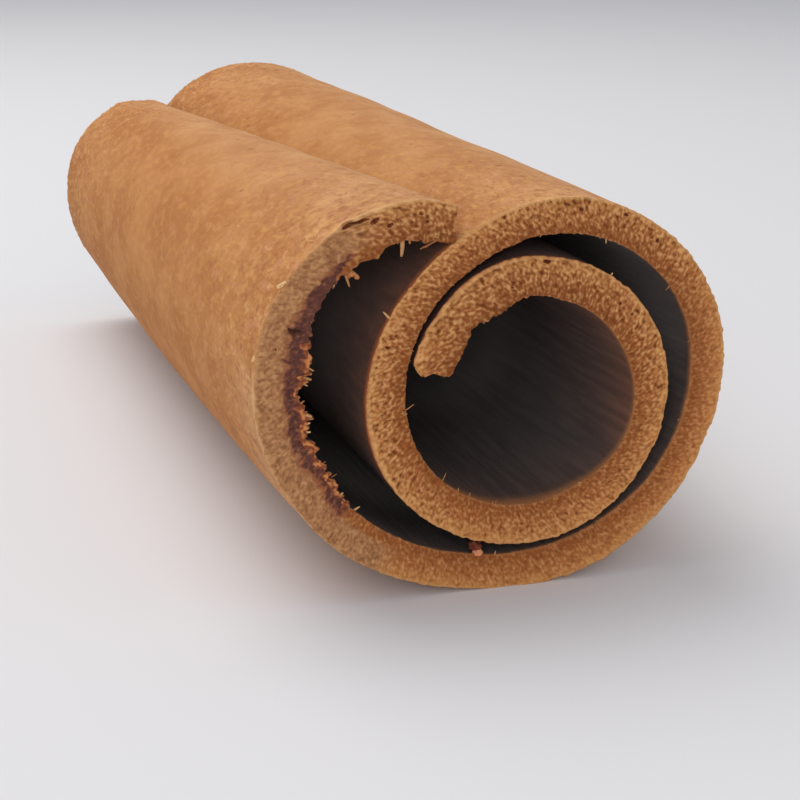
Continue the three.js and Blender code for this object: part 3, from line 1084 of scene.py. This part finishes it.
# The splinters that stand out: bearing, share, length, width, swing and forward.
SINGLE_SPLINTERS = [
    (121.6, 1, 0.25, 0.2, 10, 0), (170.8, 1, 0.48, 0.28, 10, 0.1), (125.2, 1, 0.15, 0.16, 18, 0),
    (112.6, 1, 0.8, 0.12, 38, 0), (168, 1, 0.42, 0.26, 25, 0.1), (123.8, 1, 0.98, 0.54, 10, 0.1),
    (140.9, 1, 1, 0.22, 20, 0.1), (541.4, 1, 0.7, 0.11, -30, 0.2), (139.9, 1, 0.85, 0.3, -6, 0.2),
    (166.4, 0, 0.42, 0.4, 60, 0.1), (582.6, 1, 0.6, 0.1, -15, 0.2), (593.7, 1, 0.2, 0.14, -30, 0),
    (600.4, 1, 0.2, 0.14, -20, 0), (423.8, 1, 0.3, 0.13, -25, 0), (507, 0, 0.55, 0.24, -20, 0.1),
    (163.6, 1, 0.75, 0.28, 60, 0.1), (142.8, 1, 0.75, 0.24, 70, 0.1),
    (395.1, 1, 0.35, 0.11, -10, 0.2), (140.8, 1, 0.6, 0.26, 14, 0.1), (773.8, 0, 0.18, 0.16, 0, 0),
    (111.9, 1, 1.1, 0.14, 50, 0), (151, 0, 0.55, 0.44, 54, 0.15), (172, 1, 0.42, 0.2, 25, 0.1),
]
whole_quill += [
    splinters("lip_teeth", np.concatenate([
        scattered(3, 175, 182, 0.3, 0.2, 101), scattered(11, 174, 212, 0.2, 0.16, 102),
    ]), 103),
    splinters("single_splinters", SINGLE_SPLINTERS, 104),
    splinters("rim_whiskers", np.concatenate([
        scattered(10, 240, 450, 0.14, 0.09, 105), scattered(10, 500, 850, 0.14, 0.09, 106),
    ]), 107),
]

# Broken chunks hanging on the left wall's inner rim: bearing, deeper than the rim, and size.
CHUNKS = np.array([
    (140.3, 0.05, 0.46), (140.2, 0.36, 0.4), (139.6, 0.72, 0.34), (141.5, 0, 0.34),
    (152.8, -0.08, 0.2), (155.8, -0.08, 0.24), (165.2, -0.05, 0.22), (169, -0.05, 0.22),
])
whole_quill.append(lumps(
    "rim_chunks", roll(place_at(CHUNKS[:, 0], 1.0, 0.2, CHUNKS[:, 1])),
    CHUNKS[:, 2:3] * [1.0, 0.8, 0.9], np.linspace(0.2, 0.8, len(CHUNKS)), nodule_finish, 109))

# The crumb caught between the outer turn and the coil, under the coil: a dark lump on a pink one.
whole_quill.append(lumps(
    "caught_crumb", roll(place_at([254.0, 254.6], 1.0, np.array([0.5, 0.4]), [0.45, 0.05])),
    np.array([(0.8, 1.0, 0.56), (0.62, 0.8, 0.6)]), [0.1, 1.0], crumb_finish, 113))

for piece in whole_quill:
    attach(piece, "root")
    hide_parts("bark")

# ---- floor, light and camera

FLOOR_RADIUS, FLOOR_SIDES = 2000, 96


def floor():
    """A round floor that the quill lies on."""
    turn = np.linspace(0, 2 * np.pi, FLOOR_SIDES, endpoint=False)
    edge = joined(np.cos(turn), np.sin(turn), 0) * FLOOR_RADIUS
    around = np.arange(FLOOR_SIDES)
    material, _, shader = new_finish("pale floor", 0.7)
    shader.inputs["Base Color"].default_value = shade(226, 225, 227)
    faces = joined(around, np.roll(around, -1), FLOOR_SIDES)
    return new_piece("floor", np.concatenate([edge, [[0, 0, 0]]]), faces, material, {})


def stand(name, data, place, away):
    """An object at a place, in millimetres, that looks back along a direction and stays level."""
    away = unit(np.array(away, float))
    side = unit(np.cross([0, 0, 1], away))
    turn = joined(side, np.cross(away, side), away)
    holder = in_scene(name, data)
    holder.matrix_world = Matrix.Translation(np.array(place) * MM) @ Matrix(turn.tolist()).to_4x4()
    return holder


floor()

# The lamps all face a point in the quill: name, place, size, power and tint.
LIT_POINT = np.array([0, 0, 10])
for name, place, size, power, tint in (
        ("high softbox", (-120, 160, 420), 420, 1.5, (1.0, 0.985, 0.96)),
        ("front fill", (-140, -420, 160), 380, 0.38, (0.97, 0.985, 1.0)),
        ("narrow fill", (-158, -441, 139), 160, 0.4, (0.97, 0.985, 1.0))):
    lamp = bpy.data.lights.new(name, "AREA")
    lamp.size = size * MM
    lamp.energy = power
    lamp.color = tint
    stand(name, lamp, place, place - LIT_POINT)

world = bpy.data.worlds.new("pale room")
world.use_nodes = True
world.node_tree.nodes["Background"].inputs["Color"].default_value = (0.86, 0.88, 0.92, 1)
world.node_tree.nodes["Background"].inputs["Strength"].default_value = 0.5
bpy.context.scene.world = world
bpy.context.scene.view_settings.view_transform = "Standard"

# The camera stands low and a little to the left of the near end, and looks down along the quill.
CAMERA_PLACE = np.array([-39.32 + SHIFT_X, -103.28 + CAD_LOW[1], 44.99 + SHIFT_Z])
LOOK_RIGHT, LOOK_DOWN = np.radians([17.694, 16.329])
forward = [np.sin(LOOK_RIGHT) * np.cos(LOOK_DOWN), np.cos(LOOK_RIGHT) * np.cos(LOOK_DOWN),
           -np.sin(LOOK_DOWN)]
SENSOR_WIDTH, FOCAL_LENGTH, CLIP_START = 36, 83.25, 5
lens = bpy.data.cameras.new("camera")
lens.sensor_width = SENSOR_WIDTH
lens.lens = FOCAL_LENGTH
lens.clip_start = CLIP_START * MM
bpy.context.scene.camera = stand("camera", lens, CAMERA_PLACE, -np.array(forward))
